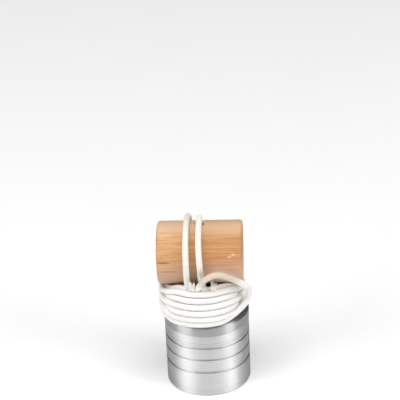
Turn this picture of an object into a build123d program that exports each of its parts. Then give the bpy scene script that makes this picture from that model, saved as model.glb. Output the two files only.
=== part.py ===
from build123d import *
from math import cos, degrees, pi, radians, sin, tan
import os

# A bricklayer's wall plumb bob, standing on its base, in millimetres.
# +Z is up along the weight's axis and the origin is the centre of its base.
# The gauge block lies across the top, along X, and the cord is wound round the neck below it.

# Steel weight
BODY_R = 19.25
BODY_TOP_Z = 36.0
RELIEF_R = 19.1  # below the ground gauge band
BAND_BOTTOM_Z = 31.2
BASE_CHAMFER = 0.6
GROOVES = ((12.2, 1.4), (18.8, 1.1), (24.8, 1.1))  # height, width
GROOVE_DEPTH = 0.7
NECK_ROOT_R = 12.5
NECK_R = 10.0
NECK_ROOT_TOP_Z = 41.0
NECK_TOP_Z = 44.8

# Screwed cap, its thread drawn as a plain shank of the root's size, and the knot below it
THREAD_ROOT_R = 5.5
SOCKET_R = 6.06
CAP_R = 9.8
CAP_HEIGHT = 2.9
CAP_SHANK = 9.0
CAP_FLUTES = 30
CAP_FLUTE_R = 0.45
CAP_HOLE_R = 2.0
SOCKET_BOTTOM_Z = 35.0
KNOT_CAVITY_R = 4.7
KNOT_CAVITY_BOTTOM_Z = 27.5
KNOT_R = 4.1
KNOT_HEIGHT = 6.4
KNOT_GAP = 0.3

# Gauge block, turned as long as the weight is wide and dried a little shorter
BLOCK_R = 14.0
BLOCK_SHRINKAGE = 0.8
BLOCK_LENGTH = 2 * BODY_R - BLOCK_SHRINKAGE
BLOCK_X = -1.5
BLOCK_Z = 64.2
BLOCK_TURN = -3.5  # degrees about Z, the way it lies on the cord
BLOCK_ARRIS = 1.1
BLOCK_HOLE_R = 2.0
BLOCK_HOLE_CHAMFER = 0.25

# Cord, and the coil it makes round the neck
CORD_D = 2.8
COIL_X = -1.5
COIL_GAP = 0.3
COIL_BORE_R = 11.9
COIL_ROOT_R = 14.3
COIL_TOP_Z = 54.0
COIL_LIP_R = 13.3
COIL_LIP_Z = 51.0
COIL_SIDE = ((19.4, 36.3), (20.7, 37.8), (20.9, 42.5), (20.4, 47.0), (19.5, 51.0), (18.0, COIL_TOP_Z))
BLOCK_CLEARANCE = 0.4

# Routes of the cord's uncoiled stretches
RISER_ROUTE = (
    (0, 0, 35.6),
    (0.05, 0, 41.2),
    (-0.25, 0, 46.4),
    (-1.35, 0.05, 51.6),
    (-1.55, 0.1, 57.6),
    (-1.5, 0, 64.0),
)
RIGHT_ROUTE = (
    (-1.5, 0, 64.4),
    (-1.35, 0.15, 71.4),
    (-1.6, 0.2, 77.8),
    (-1.4, 0.1, 81.3),
    (-1.4, -2.9, 83.7),
    (-1.9, -7.4, 81.0),
    (-2.5, -13.8, 74.1),
    (-2.7, -16.85, 64.5),
    (-1.5, -14.4, 55.5),
)
LEFT_ROUTE = (
    (-8.0, -14.4, 55.5),
    (-8.2, -16.85, 64.5),
    (-8.1, -13.6, 74.1),
    (-7.4, -5.2, 80.2),
    (-6.5, 5.2, 80.2),
    (-5.9, 13.6, 74.1),
    (-5.4, 16.85, 64.5),
    (-4.4, 14.4, 55.5),
)
ARC_ROUTE = (
    (14.6, -14.2, 39.4),
    (18.0, -11.6, 43.4),
    (19.6, -10.8, 48.6),
    (18.4, -15.6, 54.4),
    (12.8, -18.8, 60.4),
    (5.4, -19.6, 64.5),
    (-1.0, -19.8, 62.2),
    (-4.0, -17.6, 56.0),
)
CORD_END_BOTTOM = (-5.9, -17.0, 54.2)
CORD_END_TOP = (-6.4, -17.5, 57.8)
CORD_END_R = 0.9


def revolved(outline):
    """The solid turned about Z from an outline of (radius, height) points."""
    face = make_face(Polyline(*[(r, 0, z) for r, z in outline], close=True))
    return revolve(face, Axis.Z)


def make_bob_body():
    """The turned weight: gauge band, grooves, wound neck, threaded socket and knot cavity."""
    outline = (
        (0, 0),
        (RELIEF_R - BASE_CHAMFER, 0),
        (RELIEF_R, BASE_CHAMFER),
        (RELIEF_R, BAND_BOTTOM_Z),
        (BODY_R, BAND_BOTTOM_Z + 0.3),
        (BODY_R, BODY_TOP_Z - BASE_CHAMFER),
        (BODY_R - BASE_CHAMFER, BODY_TOP_Z),
        (NECK_ROOT_R, BODY_TOP_Z),
        (NECK_R, NECK_ROOT_TOP_Z),
        (NECK_R, NECK_TOP_Z),
        (0, NECK_TOP_Z),
    )
    body = revolved(outline)
    for height, width in GROOVES:
        body -= make_groove(height, width)
    socket_depth = NECK_TOP_Z - SOCKET_BOTTOM_Z
    body -= Pos(0, 0, SOCKET_BOTTOM_Z) * upright(SOCKET_R, socket_depth)
    cavity_depth = SOCKET_BOTTOM_Z - KNOT_CAVITY_BOTTOM_Z
    body -= Pos(0, 0, KNOT_CAVITY_BOTTOM_Z) * upright(KNOT_CAVITY_R, cavity_depth)
    return body


def make_groove(height, width):
    """The ring that cuts one groove, with a little flare at its mouth."""
    floor_r = RELIEF_R - GROOVE_DEPTH
    mouth = width / 2 + 0.15
    outline = (
        (floor_r, height - width / 2),
        (RELIEF_R - 0.15, height - width / 2),
        (RELIEF_R + 0.2, height - mouth - 0.2),
        (RELIEF_R + 0.2, height + mouth + 0.2),
        (RELIEF_R - 0.15, height + width / 2),
        (floor_r, height + width / 2),
    )
    return revolved(outline)


def upright(radius, height):
    """A cylinder that stands on the XY plane."""
    return Cylinder(radius, height, align=(Align.CENTER, Align.CENTER, Align.MIN))


def make_top_cap():
    """The fluted cap with its shank and the hole that the cord comes up through."""
    edge = 0.5
    outline = (
        (0, -CAP_SHANK),
        (THREAD_ROOT_R - edge, -CAP_SHANK),
        (THREAD_ROOT_R, edge - CAP_SHANK),
        (THREAD_ROOT_R, 0),
        (CAP_R - edge, 0),
        (CAP_R, edge),
        (CAP_R, CAP_HEIGHT - edge),
        (CAP_R - edge, CAP_HEIGHT),
        (CAP_HOLE_R + edge, CAP_HEIGHT),
        (0, CAP_HEIGHT - CAP_HOLE_R - edge),
    )
    cap = revolved(outline)
    cap -= Pos(0, 0, -CAP_SHANK) * upright(CAP_HOLE_R, CAP_SHANK + CAP_HEIGHT)
    flute = upright(CAP_FLUTE_R, CAP_HEIGHT)
    cap -= [loc * flute for loc in PolarLocations(CAP_R + CAP_FLUTE_R / 3, CAP_FLUTES)]
    return Pos(0, 0, NECK_TOP_Z + 0.02) * cap


def make_stopper_knot():
    """The outer shape of the overhand knot that the cap holds down."""
    knot_top = NECK_TOP_Z - CAP_SHANK - KNOT_GAP
    outline = (
        (0, -KNOT_HEIGHT),
        (KNOT_R * 0.62, -KNOT_HEIGHT),
        (KNOT_R, -KNOT_HEIGHT * 0.7),
        (KNOT_R, -KNOT_HEIGHT * 0.3),
        (KNOT_R * 0.62, 0),
        (0, 0),
    )
    return Pos(0, 0, knot_top) * revolved(outline)


def block_place():
    """Where the block lies: its own axis along X, turned a little about the cord."""
    return Pos(BLOCK_X, 0, BLOCK_Z) * Rot(0, 0, BLOCK_TURN)


def make_gauge_block():
    """The wooden roller with rounded arrises and the hole for the cord at mid length."""
    roller = Rot(0, 90, 0) * Cylinder(BLOCK_R, BLOCK_LENGTH)
    rims = roller.edges().filter_by(GeomType.CIRCLE)
    roller = fillet(rims, BLOCK_ARRIS)
    roller -= Cylinder(BLOCK_HOLE_R, 3 * BLOCK_R)
    for side in (-1, 1):
        mouth = Pos(0, 0, side * (BLOCK_R - BLOCK_HOLE_CHAMFER)) * hole_mouth(side)
        roller -= mouth
    return block_place() * roller


def hole_mouth(side):
    """The flare that eases the cord over the edge of the block's hole."""
    wide = BLOCK_HOLE_R + 2 * BLOCK_HOLE_CHAMFER
    tall = 2 * BLOCK_HOLE_CHAMFER
    base = Align.MIN
    flare = Cone(BLOCK_HOLE_R, wide, tall, align=(Align.CENTER, Align.CENTER, base))
    return flare if side > 0 else Rot(180, 0, 0) * flare


def make_coil():
    """The outer shape of the turns: low under the block's ends, higher before and behind it."""
    outline = (
        (COIL_ROOT_R, BODY_TOP_Z + COIL_GAP),
        *COIL_SIDE,
        (COIL_LIP_R, COIL_TOP_Z),
        (COIL_BORE_R, COIL_LIP_Z),
        (COIL_BORE_R, NECK_ROOT_TOP_Z + COIL_GAP),
    )
    ring = Pos(COIL_X, 0, 0) * revolved(outline)
    reach = 3 * BODY_R
    bed_r = BLOCK_R + BLOCK_CLEARANCE
    bed = Rot(0, 90, 0) * Cylinder(bed_r, reach)
    bed += Pos(0, 0, bed_r) * Box(reach, 2 * bed_r, 2 * bed_r)
    return ring - block_place() * bed


def make_cord(name, route):
    """A plain tube along straight runs joined by arcs as large as the runs allow."""
    points = [Vector(*point) for point in route]
    runs = [b - a for a, b in zip(points, points[1:])]
    radii = []
    for before, after in zip(runs, runs[1:]):
        half_turn = radians(before.get_angle(after)) / 2
        radii.append(0.45 * min(before.length, after.length) / tan(half_turn))
    path = FilletPolyline(*points, radius=radii)
    start = Plane(origin=path @ 0, z_dir=path % 0)
    tube = sweep(start * Circle(CORD_D / 2), path=path)
    section = pi * CORD_D**2 / 4
    print(
        name,
        "length", round(path.length, 1),
        "volume ratio", round(tube.volume / (section * path.length), 4),
        "turns", [round(a.get_angle(b)) for a, b in zip(runs, runs[1:])],
        "radii", [round(r, 1) for r in radii],
    )
    return tube


def make_cord_end():
    """The short frayed tip that stands up between the two strands."""
    bottom, top = Vector(*CORD_END_BOTTOM), Vector(*CORD_END_TOP)
    rise = top - bottom
    tip = Cone(CORD_END_R, CORD_END_R * 1.25, rise.length)
    return Plane(origin=(bottom + top) / 2, z_dir=rise) * tip


os.makedirs("parts", exist_ok=True)
nodes = {
    "bob_body": make_bob_body(),
    "top_cap": make_top_cap(),
    "stopper_knot": make_stopper_knot(),
    "gauge_block": make_gauge_block(),
    "cord_coil": make_coil(),
    "cord_riser": make_cord("cord_riser", RISER_ROUTE),
    "cord_right_strand": make_cord("cord_right_strand", RIGHT_ROUTE),
    "cord_left_strand": make_cord("cord_left_strand", LEFT_ROUTE),
    "cord_arc": make_cord("cord_arc", ARC_ROUTE),
    "cord_end": make_cord_end(),
}
for name, shape in nodes.items():
    export_step(shape, f"parts/{name}.step")
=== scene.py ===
import math

import bpy
import numpy as np
from mathutils import Matrix, Vector


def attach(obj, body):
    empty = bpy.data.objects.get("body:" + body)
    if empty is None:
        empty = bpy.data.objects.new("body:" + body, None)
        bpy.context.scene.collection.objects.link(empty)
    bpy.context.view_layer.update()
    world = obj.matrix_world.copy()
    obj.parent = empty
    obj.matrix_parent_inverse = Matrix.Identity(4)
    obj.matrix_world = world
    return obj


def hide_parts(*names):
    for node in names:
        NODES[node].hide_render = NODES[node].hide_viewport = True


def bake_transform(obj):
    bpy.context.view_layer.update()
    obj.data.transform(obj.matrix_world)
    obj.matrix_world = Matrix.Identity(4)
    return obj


MM = 0.001
SEED = 7

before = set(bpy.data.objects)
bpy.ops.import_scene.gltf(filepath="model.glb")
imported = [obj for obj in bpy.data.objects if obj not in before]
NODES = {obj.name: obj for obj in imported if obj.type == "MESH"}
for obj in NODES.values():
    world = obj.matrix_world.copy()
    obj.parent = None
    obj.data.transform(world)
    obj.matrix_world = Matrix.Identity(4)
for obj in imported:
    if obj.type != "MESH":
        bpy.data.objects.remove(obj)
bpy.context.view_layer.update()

# The camera stands in front and above, is rolled a little, and looks over the bob, which is low in
# its view.
CAMERA_DISTANCE = 0.70
CAMERA_ELEVATION = math.radians(30.4)
CAMERA_ROLL = math.radians(2.57)
CAMERA_PITCH = math.radians(3.64)
CAMERA_YAW = math.radians(0.22)
CAMERA_LENS = 139.1
BOB_MIDDLE = Vector((0.0, 0.0, 0.040))


def make_camera():
    """A long lens, aimed from its place towards the bob's middle and then turned up and aside."""
    data = bpy.data.cameras.new("camera")
    data.lens = CAMERA_LENS
    data.sensor_width = 36.0
    data.clip_start, data.clip_end = 0.01, 20.0
    camera = bpy.data.objects.new("camera", data)
    bpy.context.scene.collection.objects.link(camera)
    e = CAMERA_ELEVATION
    back = Vector((0.0, -math.cos(e), math.sin(e)))
    turn = back.to_track_quat("Z", "Y").to_matrix() @ Matrix.Rotation(-CAMERA_ROLL, 3, "Z")
    turn = turn @ Matrix.Rotation(CAMERA_PITCH, 3, "X") @ Matrix.Rotation(CAMERA_YAW, 3, "Y")
    camera.matrix_world = Matrix.Translation(BOB_MIDDLE + back * CAMERA_DISTANCE) @ turn.to_4x4()
    bpy.context.scene.camera = camera


# The cord: its thickness and the routes of its uncoiled stretches, close to the part's, in millimetres.
CORD_D = 2.8
RISER_ROUTE = (
    (0, 0, 35.6),
    (0.05, 0, 41.2),
    (-0.25, 0, 46.4),
    (-1.35, 0.05, 51.6),
    (-1.55, 0.1, 57.6),
    (-1.5, 0, 64.0),
)
RIGHT_ROUTE = (
    (-1.35, 0.15, 71.4),
    (-1.6, 0.2, 77.8),
    (-1.4, 0.0, 80.8),
    (-1.4, -2.9, 82.9),
    (-1.9, -7.4, 80.6),
    (-2.5, -13.8, 74.1),
    (-2.1, -16.85, 64.5),
    (-1.9, -14.1, 57.0),
)
RIGHT_FOOT = ((-1.0, -12.3, 52.4), (2.8, -12.9, 48.8))
BACK_RISE = ((2.6, 13.0, 48.8), (-2.0, 12.6, 51.2))
LEFT_ROUTE = (
    (-4.4, 14.4, 55.9),
    (-5.4, 16.85, 64.5),
    (-5.9, 13.6, 74.1),
    (-6.5, 5.2, 80.2),
    (-7.4, -5.2, 80.2),
    (-8.1, -13.6, 74.1),
    (-8.2, -16.85, 64.5),
    (-8.0, -14.4, 55.9),
)
LEFT_FOOT = ((-7.2, -12.3, 51.4), (-4.2, -12.4, 45.6), (0.6, -13.0, 41.6))
ARC_ROUTE = (
    (18.0, -11.6, 43.4),
    (19.6, -10.8, 48.6),
    (18.4, -15.6, 54.4),
    (12.8, -18.8, 59.7),
    (5.6, -19.6, 63.5),
    (0.0, -19.8, 61.2),
    (-2.6, -17.8, 56.6),
)
ARC_FOOT = ((-3.7, -15.9, 54.0), (-5.8, -14.6, 52.4))

# The coil: each outer turn's (radius, height) at the sides, in front and behind, from the lowest turn
# up. Lengths are in millimetres, and angles count in degrees from the front, towards +X.
COIL_X = -1.5
COIL_SIDES = (
    (18.3, 38.2),
    (18.6, 41.3),
    (15.9, 42.4),
    (18.6, 44.6),
    (15.9, 45.4),
    (18.5, 47.9),
    (15.8, 48.4),
)
COIL_FRONT = (
    (19.65, 38.0),
    (19.9, 40.7),
    (19.9, 43.6),
    (19.4, 46.4),
    (18.6, 49.2),
    (17.4, 51.9),
    (14.8, 52.7),
)
COIL_BEHIND = (
    (19.5, 38.1),
    (19.9, 40.9),
    (19.6, 43.8),
    (19.2, 46.6),
    (18.2, 49.3),
    (17.3, 51.9),
    (14.8, 52.5),
)
TURN_POINTS = 20
INNER_TURNS = 3
OUTER_TURNS = 7
INNER_R = 13.1
INNER_BOTTOM = 40.3
INNER_FRONT_BULGE = 0.9
INNER_FRONT_SAG = 0.2
INNER_BACK_BULGE = 0.7
FIRST_ANGLE = 30.0
LAST_ANGLE = 44.0
ROW_CHANGE = 0.36  # share of a turn, each side of the back, over which it changes to the next row
SADDLE = 0.55  # how soon a turn rises from under the block's end to its height in front
RADIUS_WAVES = ((0.10, 0.0131, 1.0), (0.06, 0.0477, 0.0))  # size, rate and start of each
HEIGHT_WAVES = ((0.12, 0.0173, 2.0),)
HALF_TURN_ANGLES = range(42, 160, 18)
HALF_TURN_Z = 48.6


def turn_places(row):
    """(radius, height) of a turn at the sides, in front and behind. Inner turns rise, outer ones fall."""
    if row < INNER_TURNS:
        height = INNER_BOTTOM + CORD_D * row
        side = (INNER_R, height)
        front = (INNER_R + INNER_FRONT_BULGE, height - INNER_FRONT_SAG)
        behind = (INNER_R + INNER_BACK_BULGE, height)
        return side, front, behind
    k = OUTER_TURNS - 1 - (row - INNER_TURNS)
    return COIL_SIDES[k], COIL_FRONT[k], COIL_BEHIND[k]


def unevenness(angle, waves):
    """What a hand-wound turn strays from its place at an angle."""
    return sum(size * math.sin(angle * rate + start) for size, rate, start in waves)


def coil_point(angle):
    """The coil's centreline at an angle counted on from turn to turn, in degrees."""
    row = math.floor(angle / 360 + 0.5)
    phase = angle / 360 - row
    share = max(0.0, (abs(phase) - 0.5 + ROW_CHANGE) / (2 * ROW_CHANGE))
    share = share * share * (3 - 2 * share)
    last = INNER_TURNS + OUTER_TURNS - 1
    other = min(max(row + (1 if phase > 0 else -1), 0), last)
    here, there = turn_places(row), turn_places(other)
    side, front, behind = [
        [a + (b - a) * share for a, b in zip(p, q)] for p, q in zip(here, there)
    ]
    facing = math.cos(math.radians(angle))
    weight = min(1.0, facing**2 / SADDLE)
    end = front if facing > 0 else behind
    radius, height = [s + (e - s) * weight for s, e in zip(side, end)]
    radius += unevenness(angle, RADIUS_WAVES)
    height += unevenness(angle, HEIGHT_WAVES)
    radius /= math.cos(math.pi / TURN_POINTS)
    a = math.radians(angle)
    return (COIL_X + radius * math.sin(a), -radius * math.cos(a), height)


def half_turn():
    """The first half turn, on top of the inner ones, from the right strand's foot to the back."""
    points = []
    for angle in HALF_TURN_ANGLES:
        a = math.radians(angle)
        points.append((COIL_X + INNER_R * math.sin(a), -INNER_R * math.cos(a), HALF_TURN_Z))
    return points


def coil_points():
    """The coil's control points, from the lowest inner turn to the lowest outer one in front."""
    step = 360 / TURN_POINTS
    stop = 360 * (INNER_TURNS + OUTER_TURNS - 1) + LAST_ANGLE
    count = int((stop - FIRST_ANGLE) / step)
    return [coil_point(FIRST_ANGLE + i * step) for i in range(count + 1)]


def cord_route():
    """The whole cord's control points, from the stopper knot to the tucked end, in metres."""
    points = [
        *RISER_ROUTE,
        *RIGHT_ROUTE,
        *RIGHT_FOOT,
        *half_turn(),
        *BACK_RISE,
        *LEFT_ROUTE,
        *LEFT_FOOT,
        *coil_points(),
        *ARC_ROUTE,
        *ARC_FOOT,
    ]
    return [Vector(p) * MM for p in points]


# The tube's faces, and the name of its UV map: millimetres along the cord and the share around it
QUAD = ((0, 0), (0, 1), (1, 1), (1, 0))
BRAID_MAP = "braid"


def smooth_line(points, resolution=10):
    """The points of a smooth NURBS spline with these control points."""
    data = bpy.data.curves.new("route", "CURVE")
    data.dimensions = "3D"
    spline = data.splines.new("NURBS")
    spline.points.add(len(points) - 1)
    for point, place in zip(spline.points, points):
        point.co = (*place, 1.0)
    spline.order_u = 3
    spline.use_endpoint_u = True
    spline.resolution_u = resolution
    holder = bpy.data.objects.new("route", data)
    mesh = bpy.data.meshes.new_from_object(holder)
    line = np.array([v.co for v in mesh.vertices], float)
    bpy.data.meshes.remove(mesh)
    bpy.data.curves.remove(data)
    return line


def evenly(line, step):
    """The line again, with points a step apart, and its length."""
    gaps = np.linalg.norm(np.diff(line, axis=0), axis=1)
    along = np.concatenate([[0.0], np.cumsum(gaps)])
    count = int(round(along[-1] / step)) + 1
    at = np.linspace(0.0, along[-1], count)
    return np.stack([np.interp(at, along, line[:, k]) for k in range(3)], axis=1), along[-1]


def sideways(line):
    """Two directions across the line at each of its points, carried along without twisting."""
    ahead = np.gradient(line, axis=0)
    ahead /= np.linalg.norm(ahead, axis=1)[:, None]
    across = np.zeros_like(line)
    first = np.cross(ahead[0], (0.3, 1.0, 0.2))
    across[0] = first / np.linalg.norm(first)
    for i in range(1, len(line)):
        v = across[i - 1] - ahead[i] * (across[i - 1] @ ahead[i])
        across[i] = v / np.linalg.norm(v)
    return across, np.cross(ahead, across)


def tube(name, line, radii, material):
    """A closed tube along an even line, with millimetres along it and the share around it as its UV map.

    radii has one row for each point and one column for each vertex around."""
    around = radii.shape[1]
    count = len(line)
    a, b = sideways(line)
    angles = np.arange(around) * 2 * math.pi / around
    rings = (
        line[:, None, :]
        + radii[:, :, None] * np.cos(angles)[None, :, None] * a[:, None, :]
        + radii[:, :, None] * np.sin(angles)[None, :, None] * b[:, None, :]
    )
    verts = np.concatenate([rings.reshape(-1, 3), line[:1], line[-1:]])
    i, j = np.meshgrid(np.arange(count - 1), np.arange(around), indexing="ij")
    k = (j + 1) % around
    quads = np.stack([i * around + j, i * around + k, (i + 1) * around + k, (i + 1) * around + j], -1)
    faces = quads.reshape(-1, 4).tolist()
    step = np.linalg.norm(line[1] - line[0]) / MM
    corners = np.stack([np.stack([(i + di) * step, (j + dj) / around], -1) for di, dj in QUAD], 2)
    places = corners.reshape(-1, 2).tolist()
    first, last = count * around, count * around + 1
    end = (count - 1) * around
    for n in range(around):
        m = (n + 1) % around
        faces.append((first, m, n))
        faces.append((last, end + n, end + m))
        places += [(0.0, n / around)] * 3 + [((count - 1) * step, n / around)] * 3
    mesh = bpy.data.meshes.new(name)
    mesh.from_pydata(verts.tolist(), [], faces)
    mesh.uv_layers.new(name=BRAID_MAP).data.foreach_set("uv", np.array(places, np.float32).ravel())
    mesh.shade_smooth()
    mesh.materials.append(material)
    piece = bpy.data.objects.new(name, mesh)
    bpy.context.scene.collection.objects.link(piece)
    return piece


# The braid: strands cross each other in both directions round the cord, over and under in turn.
CORD_STEP = 0.24 * MM
CORD_AROUND = 18
BRAID_STRANDS = 6  # each way round
BRAID_CELL = 1.3  # millimetres along the cord
BRAID_RISE = 0.045  # a strand's rise from its valleys to its crowns, as a share of the diameter
CROWN_FLATNESS = 0.7
CROWN_ENDS = 0.55  # how high a crown still is at its two ends


def braided(line, diameter):
    """Radii of a braided tube along an even line: each strand crowns over the one that it crosses."""
    step = np.linalg.norm(line[1] - line[0]) / MM
    along = np.arange(len(line))[:, None] * step / BRAID_CELL
    turn = np.arange(CORD_AROUND)[None, :] * BRAID_STRANDS / CORD_AROUND
    one, other = turn + along, turn - along
    over = (np.floor(one) + np.floor(other)) % 2 < 0.5
    across = np.where(over, one % 1, other % 1)
    lengthwise = np.where(over, other % 1, one % 1)
    hump = np.sin(math.pi * across) ** CROWN_FLATNESS
    crown = hump * (CROWN_ENDS + (1 - CROWN_ENDS) * np.sin(math.pi * lengthwise))
    return diameter / 2 * (1 - 2 * BRAID_RISE * (1 - crown))


def make_cord():
    """The one cord: a single braided tube along its whole route, in place of the part's cord pieces, which
    it hides.
    """
    line, length = evenly(smooth_line(cord_route()), CORD_STEP)
    cord = tube("cord", line, braided(line, CORD_D * MM), CORD)
    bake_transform(cord)
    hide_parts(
        "cord_riser", "cord_right_strand", "cord_left_strand", "cord_coil", "cord_arc"
    )


# Materials. Their lengths are in millimetres, and a noise's scale is in changes for each millimetre.


class Nodes:
    """Builds one material's node tree: each call adds a node and returns what it puts out."""

    def __init__(self, name):
        self.material = bpy.data.materials.new(name)
        self.material.use_nodes = True
        self.tree = self.material.node_tree
        self.shader = self.tree.nodes["Principled BSDF"]

    def add(self, kind, inputs=(), **settings):
        node = self.tree.nodes.new(kind)
        for key, value in settings.items():
            setattr(node, key, value)
        for key, value in dict(inputs).items():
            self.feed(node.inputs[key], value)
        return node

    def feed(self, socket, value):
        if isinstance(value, bpy.types.NodeSocket):
            self.tree.links.new(value, socket)
        elif isinstance(value, tuple) and len(value) == 3 and socket.type == "RGBA":
            socket.default_value = (*value, 1.0)
        else:
            socket.default_value = value

    def place(self, origin=(0, 0, 0), turn=0.0):
        """The shared frame's coordinates in millimetres, about a point and turned about Z."""
        where = self.add("ShaderNodeTexCoord").outputs["Object"]
        metric = self.times(where, (1 / MM, 1 / MM, 1 / MM))
        moved = self.add("ShaderNodeVectorMath", {0: metric, 1: origin}, operation="SUBTRACT")
        inputs = {"Vector": moved.outputs[0], "Angle": turn}
        return self.add("ShaderNodeVectorRotate", inputs, rotation_type="Z_AXIS").outputs[0]

    def times(self, vector, scale):
        return self.add("ShaderNodeVectorMath", {0: vector, 1: scale}, operation="MULTIPLY").outputs[0]

    def axes(self, vector):
        return self.add("ShaderNodeSeparateXYZ", {0: vector}).outputs

    def vector(self, x, y, z):
        return self.add("ShaderNodeCombineXYZ", {0: x, 1: y, 2: z}).outputs[0]

    def noise(self, vector, scale=1.0, detail=3.0, roughness=0.5, distortion=0.0):
        inputs = {
            "Vector": vector,
            "Scale": scale,
            "Detail": detail,
            "Roughness": roughness,
            "Distortion": distortion,
        }
        return self.add("ShaderNodeTexNoise", inputs).outputs["Fac"]

    def math(self, operation, a, b=0.0, c=0.0):
        return self.add("ShaderNodeMath", {0: a, 1: b, 2: c}, operation=operation).outputs[0]

    def distance(self, a, b):
        squares = self.math("ADD", self.math("MULTIPLY", a, a), self.math("MULTIPLY", b, b))
        return self.math("SQRT", squares)

    def spread(self, value, low, high, to_low=0.0, to_high=1.0, smooth=False):
        """to_low where the value is low, to_high where it is high, and a slope between them."""
        inputs = {1: low, 2: high, 3: to_low, 4: to_high}
        node = self.add("ShaderNodeMapRange", {"Value": value, **inputs})
        node.interpolation_type = "SMOOTHSTEP" if smooth else "LINEAR"
        return node.outputs[0]

    def mix(self, share, a, b):
        """a with a share of b."""
        node = self.add("ShaderNodeMix", data_type="RGBA")
        for key, value in ((0, share), (6, a), (7, b)):
            self.feed(node.inputs[key], value)
        return node.outputs[2]

    def ramp(self, value, stops):
        node = self.add("ShaderNodeValToRGB", {0: value})
        ends = node.color_ramp.elements
        while len(ends) < len(stops):
            ends.new(0.5)
        for end, (at, colour) in zip(ends, stops):
            end.position = at
            end.color = (*colour, 1.0)
        return node.outputs[0]

    def bump(self, height, distance_mm, strength, under=None):
        """The normal of a relief, on top of the normal of the one under it."""
        inputs = {"Height": height, "Distance": distance_mm * MM, "Strength": strength}
        node = self.add("ShaderNodeBump", inputs)
        if under is not None:
            self.feed(node.inputs["Normal"], under)
        return node.outputs[0]

    def round_z(self):
        return self.add("ShaderNodeTangent", direction_type="RADIAL", axis="Z").outputs[0]

    def finish(self, **values):
        """Sets the shader's sockets, named with _ for a space, and returns the material."""
        for key, value in values.items():
            self.feed(self.shader.inputs[key.replace("_", " ")], value)
        return self.material


def band(nodes, value, centre, half_width, soft):
    """1 inside a band of values, falling to 0 over soft at each edge."""
    away = nodes.math("ABSOLUTE", nodes.math("SUBTRACT", value, centre))
    return nodes.spread(away, half_width, half_width + soft, 1.0, 0.0, smooth=True)


ACROSS_THE_RINGS = 0.25  # a quarter turn, because turned rings spread a highlight across themselves


# Steel: where the ground gauge band starts, the fine scribed lines below it, the height below which the
# weight's colour is a little darker, and the tool's feed along the side and across the faces, in
# millimetres
GAUGE_BAND_BOTTOM = 31.2
GAUGE_BAND_EDGE = 0.1
SCRIBED_LINES = (26.3, 27.4)
SCRIBED_HALF_WIDTH = 0.05
DARKER_BELOW = 3.6
SIDE_FEED = 0.32
FACE_FEED = 0.4


def weight_steel():
    """Turned mild steel: ground and polished above, and satin with tool rings and scribed lines below."""
    n = Nodes("weight_steel")
    where = n.place()
    x, y, z = n.axes(where)
    radius = n.distance(x, y)
    ground = n.spread(z, GAUGE_BAND_BOTTOM - GAUGE_BAND_EDGE, GAUGE_BAND_BOTTOM + GAUGE_BAND_EDGE)
    rings = n.noise(n.times(where, (0.02, 0.02, 9.0)), detail=4.0)
    feed = n.math("SINE", n.math("MULTIPLY", z, 2 * math.pi / SIDE_FEED))
    facing = n.math("SINE", n.math("MULTIPLY", radius, 2 * math.pi / FACE_FEED))
    clouds = n.noise(where, scale=0.09, detail=4.0)
    grinding = n.noise(n.times(where, (0.05, 0.05, 7.0)), detail=4.0, roughness=0.6)
    stretched = n.times(where, (0.16, 0.16, 0.3))
    smears = n.noise(stretched, detail=6.0, roughness=0.65, distortion=0.6)
    specks = n.noise(where, scale=2.6, detail=2.0)
    satin = n.mix(n.spread(clouds, 0.35, 0.65), (0.78, 0.78, 0.79), (0.85, 0.845, 0.84))
    satin = n.mix(n.spread(rings, 0.35, 0.7, 0.0, 0.30), satin, (0.64, 0.64, 0.65))
    satin = n.mix(n.spread(smears, 0.55, 0.75, 0.0, 0.25), satin, (0.72, 0.67, 0.66))
    bright = n.mix(n.spread(grinding, 0.35, 0.7), (0.46, 0.46, 0.47), (0.58, 0.58, 0.585))
    colour = n.mix(ground, satin, bright)
    # The colour darkens a little towards the bottom of the weight
    base = n.spread(z, DARKER_BELOW + 1.2, DARKER_BELOW - 1.2, 0.0, 0.35, smooth=True)
    colour = n.mix(base, colour, (0.64, 0.64, 0.65))
    scribed = None
    for height in SCRIBED_LINES:
        line = band(n, z, height, SCRIBED_HALF_WIDTH, 0.09)
        scribed = line if scribed is None else n.math("MAXIMUM", scribed, line)
    colour = n.mix(n.math("MULTIPLY", scribed, 0.45), colour, (0.24, 0.24, 0.25))
    pits = n.spread(specks, 0.70, 0.76)
    colour = n.mix(n.math("MULTIPLY", pits, 0.35), colour, (0.30, 0.29, 0.28))
    satin_rough = n.spread(rings, 0.3, 0.7, 0.70, 0.80)
    ground_rough = n.spread(grinding, 0.3, 0.7, 0.40, 0.50)
    rough = n.mix(ground, satin_rough, ground_rough)
    rough = n.math("ADD", rough, n.spread(smears, 0.5, 0.75, 0.0, 0.08))
    depth = n.math("SUBTRACT", rings, n.math("MULTIPLY", scribed, 1.6))
    normal = n.bump(depth, 0.018, 0.8)
    unground = n.math("SUBTRACT", 1.0, n.math("MULTIPLY", ground, 0.8))
    tool = n.math("MULTIPLY", n.math("ADD", feed, facing), unground)
    normal = n.bump(tool, 0.004, 0.6, under=normal)
    normal = n.bump(pits, -0.02, 0.5, under=normal)
    return n.finish(
        Base_Color=colour,
        Metallic=1.0,
        Roughness=rough,
        Normal=normal,
        Anisotropic=0.95,
        Anisotropic_Rotation=ACROSS_THE_RINGS,
        Tangent=n.round_z(),
    )


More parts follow.
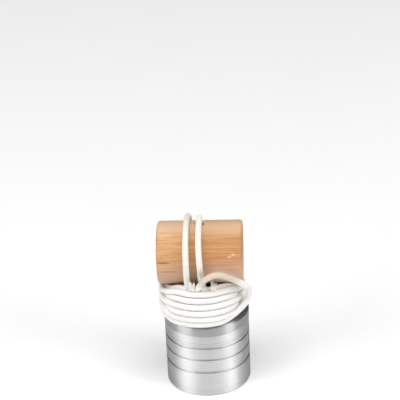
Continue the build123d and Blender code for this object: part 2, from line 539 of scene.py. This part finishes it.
def cap_steel():
    """Bright turned and knurled steel, with fine rings on its top and a little oil in the flutes."""
    n = Nodes("cap_steel")
    where = n.place()
    x, y, z = n.axes(where)
    rings = n.noise(n.times(n.vector(n.distance(x, y), 0.0, z), (7.0, 0.0, 7.0)), detail=3.0)
    clouds = n.noise(where, scale=0.35, detail=4.0)
    colour = n.mix(n.spread(rings, 0.35, 0.7), (0.62, 0.62, 0.62), (0.50, 0.50, 0.51))
    colour = n.mix(n.spread(clouds, 0.5, 0.75, 0.0, 0.4), colour, (0.42, 0.40, 0.37))
    rough = n.spread(rings, 0.3, 0.7, 0.22, 0.36)
    normal = n.bump(rings, 0.015, 0.8)
    return n.finish(
        Base_Color=colour,
        Metallic=1.0,
        Roughness=rough,
        Normal=normal,
        Anisotropic=0.8,
        Anisotropic_Rotation=ACROSS_THE_RINGS,
        Tangent=n.round_z(),
    )


# The gauge block, as in the part, in millimetres
BLOCK_PLACE = (-1.5, 0.0, 64.2)
BLOCK_TURN = math.radians(-3.5)
BLOCK_HALF = 18.85
PITH = (-22.0, -31.0)  # the tree's middle, in y and z from the block's
PITH_SLOPE = 0.03
RING_SWAY = 6.5
# Marks on the block's front, in its own millimetres: centre, sizes, strength and colour
DARK_MARKS = (
    ((-15.8, -13.6, 2.0), (3.6, 3.0, 0.55), 0.75, (0.22, 0.09, 0.05)),
    ((-14.0, -13.4, -2.4), (5.0, 3.0, 0.4), 0.5, (0.30, 0.13, 0.07)),
)
PALE_MARKS = (
    ((13.3, -12.8, 4.3), (1.3, 3.0, 0.5), 0.32, (0.93, 0.74, 0.55)),
    ((15.0, -12.6, 5.2), (1.1, 3.0, 0.7), 0.32, (0.93, 0.74, 0.55)),
)


def block_wood():
    """Light hardwood turned along its grain: growth rings, fibres, pores, dark streaks and pale flecks."""
    n = Nodes("block_wood")
    where = n.place(origin=BLOCK_PLACE, turn=-BLOCK_TURN)
    x, y, z = n.axes(where)
    # The growth rings lie round a pith outside the block, and wander a little along it.
    wander = n.noise(n.times(where, (0.035, 0.09, 0.09)), detail=3.0, roughness=0.55)
    sway = n.math("MULTIPLY", n.math("SUBTRACT", wander, 0.5), RING_SWAY)
    pith_y = n.math("SUBTRACT", y, PITH[0])
    pith_z = n.math("SUBTRACT", z, PITH[1])
    pith_z = n.math("ADD", pith_z, n.math("MULTIPLY", x, PITH_SLOPE))
    ring_place = n.math("ADD", n.distance(pith_y, pith_z), sway)
    ring_slice = n.vector(ring_place, n.math("MULTIPLY", x, 0.01), 0.0)
    rings = n.noise(ring_slice, scale=0.42, detail=3.0, roughness=0.6)
    late_slice = n.vector(ring_place, n.math("MULTIPLY", x, 0.02), 4.0)
    late = n.noise(late_slice, scale=1.5, detail=2.0)
    fibres = n.noise(n.times(where, (0.10, 2.6, 2.6)), detail=4.0, roughness=0.65)
    pores = n.noise(n.times(where, (0.32, 4.2, 4.2)), detail=2.0, roughness=0.5)
    flame = n.noise(n.times(where, (0.07, 0.09, 0.09)), detail=2.0)
    colour = n.ramp(
        rings,
        (
            (0.28, (0.51, 0.27, 0.10)),
            (0.44, (0.575, 0.315, 0.122)),
            (0.58, (0.63, 0.355, 0.145)),
            (0.72, (0.68, 0.40, 0.172)),
        ),
    )
    # Late wood and fibres, then streaks that run along the grain and leave the rings alone on the ends
    colour = n.mix(n.spread(late, 0.54, 0.68, 0.0, 0.52), colour, (0.45, 0.22, 0.095))
    colour = n.mix(n.spread(fibres, 0.48, 0.72, 0.0, 0.38), colour, (0.44, 0.22, 0.10))
    colour = n.mix(n.spread(fibres, 0.46, 0.28, 0.0, 0.30), colour, (0.90, 0.64, 0.38))
    end = n.spread(n.math("ABSOLUTE", x), BLOCK_HALF - 0.9, BLOCK_HALF - 0.15, 0.0, 0.35, smooth=True)
    along_grain = n.math("MULTIPLY_ADD", end, -2.6, 1.0)
    streaks = n.noise(n.times(where, (0.05, 1.1, 1.1)), detail=3.0, roughness=0.6)
    dark_streaks = n.math("MULTIPLY", n.spread(streaks, 0.50, 0.66, 0.0, 0.42), along_grain)
    colour = n.mix(dark_streaks, colour, (0.38, 0.185, 0.08))
    pale_streaks = n.math("MULTIPLY", n.spread(streaks, 0.47, 0.34, 0.0, 0.32), along_grain)
    colour = n.mix(pale_streaks, colour, (0.84, 0.57, 0.29))
    end_rings = n.math("MULTIPLY", n.spread(late, 0.50, 0.62), end)
    colour = n.mix(end_rings, colour, (0.30, 0.15, 0.07))
    colour = n.mix(n.spread(flame, 0.40, 0.62, 0.0, 0.22), colour, (0.66, 0.34, 0.20))
    dashes = n.spread(pores, 0.66, 0.72)
    colour = n.mix(n.math("MULTIPLY", dashes, 0.55), colour, (0.26, 0.115, 0.05))
    # The whole block's tone: browner to the right, with a painted highlight of the overhead light on top
    # and a painted lighter, rosier tone on its shaded underside
    colour = n.times(colour, (0.98, 0.94, 0.95))
    colour = n.mix(n.spread(x, -4.0, 5.0, smooth=True), colour, n.times(colour, (0.85, 0.78, 0.67)))
    # Painted highlight: the top of the block is paled where the overhead light's sheen falls
    colour = n.mix(n.spread(z, 11.0, 14.0, 0.0, 0.6, smooth=True), colour, (0.80, 0.60, 0.40))
    # Painted light: the underside, which lies in shade, is lifted to a lighter, rosier tone
    low = n.spread(z, 6.0, -7.0, 0.0, 0.65, smooth=True)
    painted_underside_light = n.mix(n.spread(x, -4.0, 5.0), (0.52, 0.35, 0.27), (0.78, 0.57, 0.48))
    colour = n.mix(low, colour, painted_underside_light)
    for centre, sizes, strength, tint in DARK_MARKS + PALE_MARKS:
        mark = spot(n, x, y, z, centre, sizes)
        colour = n.mix(n.math("MULTIPLY", mark, strength), colour, tint)
    colour = n.mix(end, colour, (0.42, 0.22, 0.10))
    # Open grain on the ends, raised fibres, sunk pores and faint turning rings
    rough = n.spread(fibres, 0.3, 0.7, 0.5, 0.68)
    rough = n.math("ADD", rough, n.math("MULTIPLY", end, 0.4))
    normal = n.bump(fibres, 0.05, 0.55)
    normal = n.bump(dashes, -0.07, 0.7, under=normal)
    turning = n.noise(n.vector(n.math("MULTIPLY", x, 2.4), 0.0, 0.0), detail=2.0)
    normal = n.bump(turning, 0.02, 0.35, under=normal)
    return n.finish(
        Base_Color=colour,
        Roughness=rough,
        Normal=normal,
        Specular_IOR_Level=0.35,
        Coat_Weight=0.06,
        Coat_Roughness=0.35,
    )


def spot(nodes, x, y, z, centre, sizes):
    """1 inside an egg-shaped mark, falling to 0 at its edge."""
    total = None
    for axis, middle, size in zip((x, y, z), centre, sizes):
        away = nodes.math("DIVIDE", nodes.math("SUBTRACT", axis, middle), size)
        square = nodes.math("MULTIPLY", away, away)
        total = square if total is None else nodes.math("ADD", total, square)
    return nodes.spread(total, 0.25, 1.0, 1.0, 0.0, smooth=True)


def braid_crown(n):
    """The braid's height, 0 in its valleys and 1 on its crowns, and the place across the upper strand."""
    place = n.axes(n.add("ShaderNodeUVMap", uv_map=BRAID_MAP).outputs[0])
    along = n.math("DIVIDE", place[0], BRAID_CELL)
    turn = n.math("MULTIPLY", place[1], float(BRAID_STRANDS))
    one, other = n.math("ADD", turn, along), n.math("SUBTRACT", turn, along)
    cell = n.math("ADD", n.math("FLOOR", one), n.math("FLOOR", other))
    over = n.math("LESS_THAN", n.math("FLOORED_MODULO", cell, 2.0), 0.5)
    one, other = n.math("FRACT", one), n.math("FRACT", other)
    under = n.math("SUBTRACT", 1.0, over)
    across = n.math("ADD", n.math("MULTIPLY", over, one), n.math("MULTIPLY", under, other))
    lengthwise = n.math("ADD", n.math("MULTIPLY", over, other), n.math("MULTIPLY", under, one))
    hump = n.math("SINE", n.math("MULTIPLY", across, math.pi))
    hump = n.math("POWER", hump, CROWN_FLATNESS)
    rise = n.math("SINE", n.math("MULTIPLY", lengthwise, math.pi))
    rise = n.math("MULTIPLY_ADD", rise, 1 - CROWN_ENDS, CROWN_ENDS)
    return n.math("MULTIPLY", hump, rise), across


# Where the cord turns creamier and where its arc is soiled, in millimetres
CREAMIER_ABOVE = 55.0
SOILED_PLACE = (4.5, -19.0, 61.5)
SOILED_SIZES = (14.0, 3.2, 7.0)
FILAMENTS_ACROSS = 5  # in each of the braid's strands


def nylon(name, braid):
    """White nylon, a little creamier higher up, with fine filaments and a soft sheen, and with painted
    shade in the braid's valleys and between its filaments.
    """
    n = Nodes(name)
    where = n.place()
    x, y, z = n.axes(where)
    patches = n.noise(where, scale=0.12, detail=3.0)
    dust = n.noise(where, scale=0.9, detail=4.0, roughness=0.6)
    fuzz = n.noise(where, scale=9.0, detail=3.0, roughness=0.7)
    colour = n.mix(n.spread(patches, 0.38, 0.62), (0.96, 0.955, 0.94), (0.94, 0.925, 0.895))
    creamier = n.spread(z, CREAMIER_ABOVE, CREAMIER_ABOVE + 5.0, 0.0, 0.7, smooth=True)
    colour = n.mix(creamier, colour, (0.86, 0.80, 0.71))
    soiled = spot(n, x, y, z, SOILED_PLACE, SOILED_SIZES)
    colour = n.mix(n.math("MULTIPLY", soiled, 0.85), colour, (0.66, 0.54, 0.43))
    colour = n.mix(n.spread(dust, 0.55, 0.78, 0.0, 0.3), colour, (0.76, 0.70, 0.62))
    colour = n.mix(n.spread(fuzz, 0.55, 0.8, 0.0, 0.2), colour, (0.72, 0.68, 0.62))
    normal = n.bump(fuzz, 0.05, 0.5)
    if braid:
        crown, across = braid_crown(n)
        valleys = n.spread(crown, 0.62, 0.18, 0.0, 1.0, smooth=True)
        # Painted shade: the braid's valleys are darkened where shade falls between its strands
        colour = n.mix(n.math("MULTIPLY", valleys, 0.5), colour, (0.66, 0.62, 0.56))
        grime = n.math("MULTIPLY", valleys, n.math("MULTIPLY", soiled, 0.6))
        colour = n.mix(grime, colour, (0.36, 0.29, 0.23))
        filaments = n.math("SINE", n.math("MULTIPLY", across, 2 * math.pi * FILAMENTS_ACROSS))
        # Painted shade: fine dark lines between the filaments, where shade falls
        colour = n.mix(n.spread(filaments, 0.2, -1.0, 0.0, 0.12), colour, (0.60, 0.55, 0.48))
        normal = n.bump(filaments, 0.03, 0.4, under=normal)
        normal = n.bump(crown, 0.16, 0.8, under=normal)
    return n.finish(
        Base_Color=colour,
        Roughness=n.spread(fuzz, 0.3, 0.7, 0.55, 0.72),
        Normal=normal,
        Sheen_Weight=0.25,
        Sheen_Roughness=0.4,
    )


def floor_material():
    """White studio paper with the faintest tone."""
    n = Nodes("floor")
    where = n.place()
    tone = n.noise(where, scale=0.02, detail=3.0)
    colour = n.mix(tone, (0.95, 0.95, 0.95), (0.97, 0.97, 0.97))
    return n.finish(Base_Color=colour, Roughness=0.85)


def paint(node, material):
    """One material on a piece that keeps its CAD shape."""
    piece = NODES[node]
    piece.data.materials.clear()
    piece.data.materials.append(material)


def new_piece(name, verts, faces, material, smooth=True):
    mesh = bpy.data.meshes.new(name)
    mesh.from_pydata(verts, [], faces)
    if smooth:
        mesh.shade_smooth()
    mesh.materials.append(material)
    piece = bpy.data.objects.new(name, mesh)
    bpy.context.scene.collection.objects.link(piece)
    return piece


# The cap's thread, in millimetres
THREAD_ROOT_R = 5.5
THREAD_CREST_R = 6.0
THREAD_PITCH = 1.5
THREAD_BOTTOM = 36.3
THREAD_TOP = 44.5
THREAD_AROUND = 72
THREAD_TAPER = 30  # steps over which the ridge grows and fades at its ends
RIDGE_SHARE = 0.68  # the ridge's width at its root, as a share of the pitch
CREST_HALF = 0.09
RIDGE_SUNK = 0.15  # how deep the ridge's root lies in the shank


def make_thread():
    """The cap's screw thread: a V ridge wound up its shank, which tapers out at both ends."""
    turns = (THREAD_TOP - THREAD_BOTTOM) / THREAD_PITCH
    count = int(turns * THREAD_AROUND)
    verts, faces = [], []
    for i in range(count + 1):
        a = 2 * math.pi * i / THREAD_AROUND
        height = THREAD_BOTTOM + THREAD_PITCH * i / THREAD_AROUND
        fade = min(1.0, i / THREAD_TAPER, (count - i) / THREAD_TAPER)
        crest = THREAD_ROOT_R - 0.02 + (THREAD_CREST_R - THREAD_ROOT_R) * fade
        half = RIDGE_SHARE * THREAD_PITCH / 2
        for r, z in (
            (THREAD_ROOT_R - RIDGE_SUNK, height - half),
            (crest, height - CREST_HALF),
            (crest, height + CREST_HALF),
            (THREAD_ROOT_R - RIDGE_SUNK, height + half),
        ):
            verts.append((r * math.cos(a) * MM, r * math.sin(a) * MM, z * MM))
    for row in range(0, 4 * count, 4):
        for j in range(4):
            k = (j + 1) % 4
            faces.append((row + j, row + 4 + j, row + 4 + k, row + k))
    last = 4 * count
    faces.append((0, 1, 2, 3))
    faces.append((last + 3, last + 2, last + 1, last))
    thread = new_piece("cap_thread", verts, faces, CAP_STEEL, smooth=False)
    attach(thread, "cap")


# The stopper knot, in millimetres: an overhand knot pulled down below the cap
KNOT_MIDDLE = 32.35
KNOT_D = 2.5
KNOT_R = 1.62
KNOT_LOBE = 1.02
KNOT_RISE = 1.45
KNOT_TAIL = ((0.3, 0.2, 30.6), (0.2, -0.3, 29.4))


def make_knot():
    """An overhand knot: a trefoil's three lobes, pulled tight, with the cord's tail sticking out below."""
    points = []
    for i in range(25):
        t = math.radians(14 * i - 10)
        r = KNOT_R + KNOT_LOBE * math.cos(3 * t)
        height = KNOT_MIDDLE + KNOT_RISE * math.sin(3 * t)
        points.append((r * math.cos(2 * t), r * math.sin(2 * t), height))
    points += KNOT_TAIL
    line = evenly(smooth_line([Vector(p) * MM for p in points]), CORD_STEP)[0]
    knot = tube("overhand_knot", line, braided(line, KNOT_D * MM), CORD)
    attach(knot, "line")
    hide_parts("stopper_knot")
    return knot


# Tufts of loose filaments at the cord's frayed end, in millimetres: root, tip and spread
TUFTS = (
    ((-6.1, -17.0, 54.3), (-6.7, -17.6, 58.2), 0.32),
    ((-5.5, -17.1, 54.2), (-5.0, -17.9, 57.9), 0.28),
    ((3.4, -16.7, 53.6), (2.9, -17.6, 58.6), 0.26),
    ((3.8, -16.9, 53.6), (4.5, -17.8, 57.0), 0.34),
)
FILAMENTS = 60  # in each tuft
FILAMENT_R = 0.11
FILAMENT_STEPS = 7
FILAMENT_AROUND = 5
TUFT_R = 0.42
FILAMENT_BEND = 0.16


def make_frayed_end():
    """The end's filaments, each a thin tapered thread that bends a little on its way to the tip."""
    rng = np.random.default_rng(SEED)
    verts, faces = [], []
    steps, around = FILAMENT_STEPS, FILAMENT_AROUND
    for root, tip, spread_r in TUFTS:
        root, tip = np.array(root), np.array(tip)
        for _ in range(FILAMENTS):
            start = root + rng.normal(0, TUFT_R, 3) * (1, 0.8, 0.2)
            end = tip + rng.normal(0, spread_r, 3) * (1, 0.7, 2.0)
            bend = rng.normal(0, FILAMENT_BEND, 3)
            first = len(verts)
            for i in range(steps):
                t = i / (steps - 1)
                middle = start + (end - start) * t + bend * math.sin(math.pi * t)
                r = FILAMENT_R * (1.35 - 0.85 * t)
                for j in range(around):
                    a = 2 * math.pi * j / around
                    verts.append((middle + (r * math.cos(a), r * math.sin(a), 0)) * MM)
            for i in range(steps - 1):
                for j in range(around):
                    k = (j + 1) % around
                    row = first + i * around
                    faces.append((row + j, row + k, row + around + k, row + around + j))
            faces.append(tuple(first + j for j in reversed(range(around))))
            top = first + (steps - 1) * around
            faces.append(tuple(top + j for j in range(around)))
    end = new_piece("frayed_end", [tuple(v) for v in verts], faces, LOOSE_NYLON)
    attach(end, "line")
    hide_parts("cord_end")
    return end


# The studio: half the floor's side in metres, and how bright the room is to mirrors and to the camera
FLOOR_HALF = 3.0
WALLS = 0.007
CEILING = 0.0625
CEILING_FROM = 0.40  # where the walls' tone starts to climb, as the height of a direction of length 1
CEILING_TO = 0.80
BACKGROUND = 0.9
# Each soft light's name, place and size in metres, and power in watts
LIGHTS = (
    ("overhead", (0.0, -1.8, 7.2), (7.2, 6.0), 525.0),
    ("left_softbox", (-0.72, -0.40, 0.38), (0.55, 0.75), 4.3),
    ("right_softbox", (0.74, -0.44, 0.36), (0.42, 0.7), 4.0),
)


def make_stage():
    """A plain floor, the room round it and its soft lights."""
    size = FLOOR_HALF
    corners = [(-size, -size, 0), (size, -size, 0), (size, size, 0), (-size, size, 0)]
    floor = new_piece("floor", corners, [(0, 1, 2, 3)], floor_material(), smooth=False)
    make_studio()
    for light in LIGHTS:
        area_light(*light)


def make_studio():
    """The room that the metal mirrors: dim walls under a brighter ceiling. To the camera it is white."""
    world = bpy.data.worlds.new("studio")
    world.use_nodes = True
    tree = world.node_tree
    where = tree.nodes.new("ShaderNodeTexCoord").outputs["Generated"]
    axes = tree.nodes.new("ShaderNodeSeparateXYZ")
    tree.links.new(where, axes.inputs[0])
    climb = tree.nodes.new("ShaderNodeMapRange")
    climb.interpolation_type = "SMOOTHSTEP"
    tree.links.new(axes.outputs["Z"], climb.inputs["Value"])
    for socket, value in zip(climb.inputs[1:5], (CEILING_FROM, CEILING_TO, WALLS, CEILING)):
        socket.default_value = value
    path = tree.nodes.new("ShaderNodeLightPath")
    choice = tree.nodes.new("ShaderNodeMix")
    tree.links.new(path.outputs["Is Camera Ray"], choice.inputs[0])
    tree.links.new(climb.outputs[0], choice.inputs[2])
    choice.inputs[3].default_value = BACKGROUND
    tree.nodes["Background"].inputs["Color"].default_value = (1.0, 1.0, 1.0, 1.0)
    tree.links.new(choice.outputs[0], tree.nodes["Background"].inputs["Strength"])
    bpy.context.scene.world = world
    bpy.context.scene.view_settings.view_transform = "Standard"


def area_light(name, place, size, power):
    """A rectangular light, turned towards the bob."""
    data = bpy.data.lights.new(name, "AREA")
    data.shape = "RECTANGLE"
    data.size, data.size_y = size
    data.energy = power
    light = bpy.data.objects.new(name, data)
    bpy.context.scene.collection.objects.link(light)
    place = Vector(place)
    light.location = place
    light.rotation_euler = (BOB_MIDDLE - place).to_track_quat("-Z", "Y").to_euler()


make_camera()
CORD = nylon("cord", braid=True)
LOOSE_NYLON = nylon("cord_filaments", braid=False)
CAP_STEEL = cap_steel()
knot = make_knot()
frayed_end = make_frayed_end()
make_cord()
make_thread()
paint("bob_body", weight_steel())
paint("top_cap", CAP_STEEL)
paint("gauge_block", block_wood())
make_stage()
